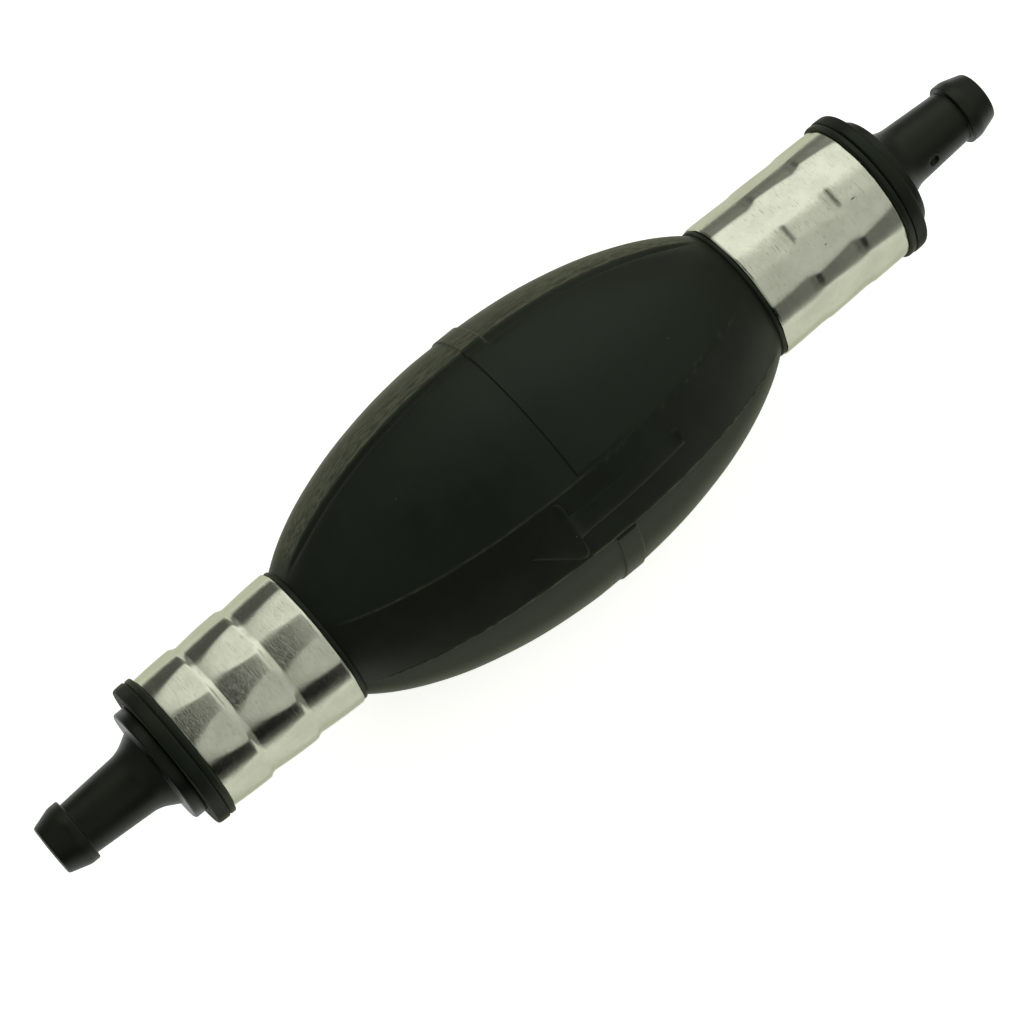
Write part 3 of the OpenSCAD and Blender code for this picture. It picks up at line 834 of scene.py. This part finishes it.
class Material(Nodes):
    """A node material with its Principled shader."""

    def __init__(self, name, **inputs):
        self.material = bpy.data.materials.new(name)
        self.material.use_nodes = True
        super().__init__(self.material.node_tree)
        self.shader = self.tree.nodes["Principled BSDF"]
        for key, value in inputs.items():
            self.shader.inputs[key.replace("_", " ")].default_value = value
        self.place = self.add("ShaderNodeTexCoord").outputs["Object"]

    def scaled(self, size, stretch=(1, 1, 1)):
        """The place on the piece in cells of size millimetres, stretched along the axes."""
        mapping = self.add("ShaderNodeMapping")
        mapping.inputs["Scale"].default_value = [s / (size * MM) for s in stretch]
        self.link(self.place, mapping.inputs["Vector"])
        return mapping.outputs["Vector"]

    def noise(self, size, stretch=(1, 1, 1), detail=3, roughness=0.55):
        node = self.add("ShaderNodeTexNoise", Scale=1.0, Detail=detail, Roughness=roughness)
        self.link(self.scaled(size, stretch), node.inputs["Vector"])
        return node.outputs["Fac"]

    def specks(self, spacing, size, share, stretch=(1, 1, 1)):
        """Sparse dots: 1 inside a dot, in that share of the cells."""
        cells = self.add("ShaderNodeTexVoronoi", Scale=1.0)
        self.link(self.scaled(spacing, stretch), cells.inputs["Vector"])
        edge = size / spacing
        near = self.ramp(cells.outputs["Distance"], edge * 0.6, edge, 1, 0)
        draw = self.add("ShaderNodeSeparateColor")
        self.link(cells.outputs["Color"], draw.inputs["Color"])
        return self.times(near, self.math("GREATER_THAN", draw.outputs[0], 1 - share))

    def colour(self, source):
        self.link(source, self.shader.inputs["Base Color"])

    def rough(self, source, low, high, to_low, to_high):
        self.link(self.ramp(source, low, high, to_low, to_high), self.shader.inputs["Roughness"])

    def relief(self, height, depth):
        """Bumps the surface by a height of 0 to 1, depth millimetres high."""
        node = self.add("ShaderNodeBump", Distance=depth * MM)
        self.link(height, node.inputs["Height"])
        self.link(node.outputs["Normal"], self.shader.inputs["Normal"])


# Paler colour of rubbed rubber, also used for the painted rim light on the side panels by the seam
RUB_AND_RIM_LIGHT = (0.068, 0.074, 0.048)
DUST = (0.34, 0.36, 0.31)
# Rubber's gloss, as (facing, facing, level, level): it falls off towards the rims
RIM_GLOSS = (0.22, 0.66, 0.17, 0.01)
# Aluminium: its smudges are between two colours
SHEET = ((0.43, 0.445, 0.355), (0.36, 0.375, 0.29))
BRUSHED = (0.55, 0.57, 0.49)
SCRATCHED = (0.20, 0.20, 0.15)
NICKED = (0.06, 0.06, 0.05)
# A row of small nicks lies on the upper side of the inlet's ferrule, between limits along Y
NICK_ROW_Y = [y * MM for y in (3.6, 4.0, 6.6, 7.2)]
NICK_ROW_X = (-40 * MM, -44 * MM)


def rubber(name, colour, pale, bloom, dust_rub_and_rim_light=False):
    """Moulded rubber: fine grain, a faint bloom in patches and at its rims. With the flag set it
    also has dust, and is painted paler where its mesh says so: marks of rubbing, and painted rim
    light by the seam."""
    m = Material(name, Specular_Tint=(0.76, 1.0, 0.72, 1),
                 Sheen_Weight=bloom, Sheen_Roughness=0.45, Sheen_Tint=(0.80, 0.87, 0.50, 1))
    facing = m.add("ShaderNodeLayerWeight", Blend=0.5).outputs["Facing"]
    m.link(m.ramp(facing, *RIM_GLOSS), m.shader.inputs["Specular IOR Level"])
    grain = m.noise(0.16, detail=4)
    patches = m.noise(9, detail=5, roughness=0.65)
    body = m.blend(m.ramp(patches, 0.35, 0.7, 0, 1), colour, pale)
    if dust_rub_and_rim_light:
        # Painted rim light and marks of rubbing: the mesh's share turns the colour to the paler
        # one, in streaks
        rub_and_light_share = m.add("ShaderNodeAttribute", attribute_name="rub_and_light_share").outputs["Fac"]
        streaks = m.ramp(m.noise(0.6, stretch=(0.25, 1, 1), detail=4), 0.35, 0.65, 0.3, 1)
        body = m.blend(m.times(rub_and_light_share, streaks), body, RUB_AND_RIM_LIGHT)
        dust = m.plus(m.specks(7, 0.18, 0.30), m.specks(2.6, 0.07, 0.10))
        body = m.blend(dust, body, DUST)
        dull = m.plus(m.times(patches, 0.6), m.times(dust, 0.5), m.times(rub_and_light_share, 0.5))
        m.rough(dull, 0.15, 0.7, 0.38, 0.55)
    else:
        m.rough(patches, 0.3, 0.7, 0.38, 0.5)
    m.colour(body)
    m.relief(m.plus(m.times(grain, 0.4), m.times(m.noise(2.2), 0.8)), 0.022)
    return m.material


def crimped_metal():
    """Bright sheet, brushed round its axis, with smudges, scratches and small nicks."""
    m = Material("ferrule_aluminium", Metallic=1.0, Specular_Tint=(0.62, 0.63, 0.54, 1))
    brushing = m.noise(0.9, stretch=(14, 1, 1), detail=4, roughness=0.7)
    smudges = m.noise(5, detail=4, roughness=0.6)
    scratches = m.noise(1.3, stretch=(7, 0.8, 0.8), detail=3, roughness=0.7)
    scratches = m.ramp(scratches, 0.60, 0.72, 0, 1)
    hatch = m.noise(2.2, stretch=(7, 1, 1), detail=3, roughness=0.75)
    axes = m.split(m.place)
    row = m.times(m.between(axes["Y"], NICK_ROW_Y), m.ramp(axes["X"], *NICK_ROW_X, 0, 1),
                  m.ramp(axes["Z"], 0, MM, 0, 1))
    nicks = m.plus(m.specks(3.4, 0.15, 0.07), m.specks(1.7, 0.10, 0.05, stretch=(0.22, 1.4, 1.4)),
                   m.times(row, m.specks(1.7, 0.30, 0.5, stretch=(0.5, 1.5, 0.3))))
    body = m.blend(m.ramp(smudges, 0.3, 0.75, 0, 1), *SHEET)
    body = m.blend(m.times(brushing, 0.3), body, BRUSHED)
    body = m.blend(m.times(scratches, 0.35), body, SCRATCHED)
    m.colour(m.blend(nicks, body, NICKED))
    m.rough(m.plus(m.times(smudges, 0.7), m.times(brushing, 0.3), m.times(scratches, 0.3)),
            0.25, 0.8, 0.09, 0.17)
    m.relief(m.plus(brushing, m.times(hatch, 1.2), m.times(m.noise(3.5), 2.0),
                    m.times(nicks, -1.5), m.times(scratches, -0.6)), 0.013)
    return m.material


def plastic(name, colour, pale, low, high, level):
    """Moulded plastic: satin with a fine spark texture and soft flow marks."""
    m = Material(name, Specular_IOR_Level=level, Specular_Tint=(0.84, 1.0, 0.78, 1))
    flow = m.noise(4, stretch=(0.4, 1, 1), detail=4)
    m.colour(m.blend(m.ramp(flow, 0.3, 0.7, 0, 1), colour, pale))
    m.rough(flow, 0.3, 0.7, low, high)
    m.relief(m.plus(m.times(m.noise(0.22, detail=3), 0.5), m.times(flow, 0.6)), 0.02)
    return m.material


def turned_metal(name, colour, pale):
    """Turned or drawn metal with fine marks round the axis."""
    m = Material(name, Metallic=1.0)
    marks = m.noise(0.5, stretch=(9, 1, 1), detail=3)
    m.colour(m.blend(marks, colour, pale))
    m.rough(marks, 0.3, 0.7, 0.22, 0.36)
    m.relief(marks, 0.008)
    return m.material


MATERIALS = {
    "bulb_rubber": rubber(
        "bulb_rubber", (0.0040, 0.0056, 0.0043), (0.0060, 0.0084, 0.0064), 0.18, dust_rub_and_rim_light=True),
    "gasket_rubber": rubber(
        "gasket_rubber", (0.0042, 0.0054, 0.0036), (0.0066, 0.0080, 0.0054), 0.07),
    "seal_rubber": rubber("seal_rubber", (0.10, 0.035, 0.020), (0.13, 0.050, 0.028), 0.07),
    "ferrule_aluminium": crimped_metal(),
    "fitting_plastic": plastic(
        "fitting_plastic", (0.0046, 0.0060, 0.0034), (0.0070, 0.0088, 0.0052), 0.34, 0.46, 0.19),
    "valve_plastic": plastic(
        "valve_plastic", (0.80, 0.80, 0.74), (0.86, 0.86, 0.82), 0.30, 0.42, 0.5),
    "seat_brass": turned_metal("seat_brass", (0.66, 0.46, 0.17), (0.78, 0.60, 0.28)),
    "spring_steel": turned_metal("spring_steel", (0.52, 0.53, 0.54), (0.66, 0.67, 0.68)),
}

for part in frame["record"]["subparts"]:
    node = NODES[part["node"]]
    node.data.materials.clear()
    node.data.materials.append(MATERIALS[part["material_slot"]])

make_bulb(MATERIALS["bulb_rubber"])
for end in SIDES:
    make_ferrule(end, MATERIALS["ferrule_aluminium"])
    make_gasket(end, MATERIALS["gasket_rubber"])
    make_fitting(end, MATERIALS["fitting_plastic"])
    make_spring(end, MATERIALS["spring_steel"])

# ---------------------------------------------------------------- floor, light and camera

# The camera stands high over the bulb's seam side, and its picture turns the pump to a diagonal
DISTANCE = 0.600
CAMERA_TILT = 10.0
CAMERA_ROLL = 17.5
PICTURE_ANGLE = 39.304
PICTURE_SCALE = 6.217
AIM = (2.399, 7.907)
SENSOR = 36.0
PICTURE = 1024

# The floor glows near the pump and dims between two distances from its middle, in metres
FLOOR_HALF = 3.0
FLOOR_DIMS = (0.126, 0.20)
FLOOR_NEAR = ((0.68, 0.68, 0.665), (0.71, 0.71, 0.695))
FLOOR_FAR = (0.12, 0.12, 0.117)
GLOW_NEAR = (0.78, 0.785, 0.755)
# The far floor's glow on the inlet's side and on the outlet's, and where one turns to the other
GLOW_FAR = ((0.22, 0.22, 0.215), (0.06, 0.06, 0.058))
GLOW_TURNS = (-0.14, 0.0)

# The studio's colour, and how its brightness changes, as (from, to, brightness, brightness)
# along +X or +Y of the direction
STUDIO = (1, 1, 0.97, 1)
CEILING_X = (-0.02, 0.14, 1.12, 0.62)
CEILING_Y = (0.3, 0.9, 1.0, 0.7)
WALL_X = (-0.38, 0.0, 0.34, 0.010)
WALL_Y = (-0.9, -0.3, 0.12, 0.0)
# Between two lamps over the outlet's half it is dark: edges of that gap along +X and +Y
GAP_X = (-0.15, 0.02, 0.24, 0.36)
GAP_Y = (-0.52, -0.26, 0.42, 0.66)
# The walls' top edge, as the sine of its height over the horizon
WALL_TOP = (0.30, 0.54)

tilt, roll, screen = radians(CAMERA_TILT), radians(CAMERA_ROLL), radians(PICTURE_ANGLE)
BACK = Vector((sin(tilt), cos(tilt) * sin(roll), cos(tilt) * cos(roll)))
along = Vector((1, 0, 0)) - BACK * BACK.x
along.normalize()
beside = BACK.cross(along)
RIGHT = -cos(screen) * along + sin(screen) * beside
UP = -sin(screen) * along - cos(screen) * beside


def make_camera():
    data = bpy.data.cameras.new("camera")
    data.sensor_width = SENSOR
    data.lens = PICTURE_SCALE / MM * DISTANCE / PICTURE * SENSOR
    camera = bpy.data.objects.new("camera", data)
    bpy.context.scene.collection.objects.link(camera)
    turn = Matrix((RIGHT, UP, BACK)).transposed().to_4x4()
    place = BACK * DISTANCE - RIGHT * AIM[0] * MM - UP * AIM[1] * MM
    camera.matrix_world = Matrix.Translation(place) @ turn
    bpy.context.scene.camera = camera


def make_floor():
    """A pale sheet that glows a little, as on a light table, and dims far from the pump."""
    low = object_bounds()[0].z
    mesh = bpy.data.meshes.new("floor")
    corners = [(x * FLOOR_HALF, y * FLOOR_HALF, low)
               for x, y in ((-1, -1), (1, -1), (1, 1), (-1, 1))]
    mesh.from_pydata(corners, [], [(0, 1, 2, 3)])
    m = Material("floor", Roughness=0.9, Specular_IOR_Level=0.1, Emission_Strength=1.0)
    away = m.add("ShaderNodeVectorMath", operation="LENGTH")
    m.link(m.place, away.inputs[0])
    far = m.ramp(away.outputs["Value"], *FLOOR_DIMS, 0, 1)
    m.colour(m.blend(far, m.blend(m.noise(40), *FLOOR_NEAR), FLOOR_FAR))
    glow = m.blend(m.ramp(m.split(m.place)["X"], *GLOW_TURNS, 0, 1), *GLOW_FAR)
    m.link(m.blend(far, GLOW_NEAR, glow), m.shader.inputs["Emission Color"])
    mesh.materials.append(m.material)
    floor = bpy.data.objects.new("floor", mesh)
    bpy.context.scene.collection.objects.link(floor)


def make_world():
    """A studio: a bright ceiling over the inlet's half, a dim one over the outlet's, dark walls."""
    world = bpy.data.worlds.new("studio")
    world.use_nodes = True
    w = Nodes(world.node_tree)
    x, y, z = w.split(w.add("ShaderNodeTexCoord").outputs["Generated"])
    gap = w.times(w.between(x, GAP_X), w.between(y, GAP_Y))
    ceiling = w.times(w.ramp(x, *CEILING_X), w.ramp(y, *CEILING_Y), w.minus(gap))
    wall = w.plus(w.ramp(x, *WALL_X), w.ramp(y, *WALL_Y))
    above = w.ramp(z, *WALL_TOP, 0, 1)
    light = w.plus(w.times(ceiling, above), w.times(wall, w.minus(above)))
    background = w.tree.nodes["Background"]
    background.inputs["Color"].default_value = STUDIO
    w.link(light, background.inputs["Strength"])
    bpy.context.scene.world = world


def make_light(name, place, size, power):
    """A rectangular soft light that faces the bulb."""
    data = bpy.data.lights.new(name, "AREA")
    data.shape = "RECTANGLE"
    data.size, data.size_y = size
    data.energy = power
    light = bpy.data.objects.new(name, data)
    light.location = place
    light.rotation_mode = "QUATERNION"
    light.rotation_quaternion = Vector(place).to_track_quat("Z", "Y")
    bpy.context.scene.collection.objects.link(light)


make_camera()
make_floor()
make_world()
make_light("key", (-0.55, -0.75, 0.95), (1.1, 1.1), 2.2)
bpy.context.scene.view_settings.view_transform = "Standard"
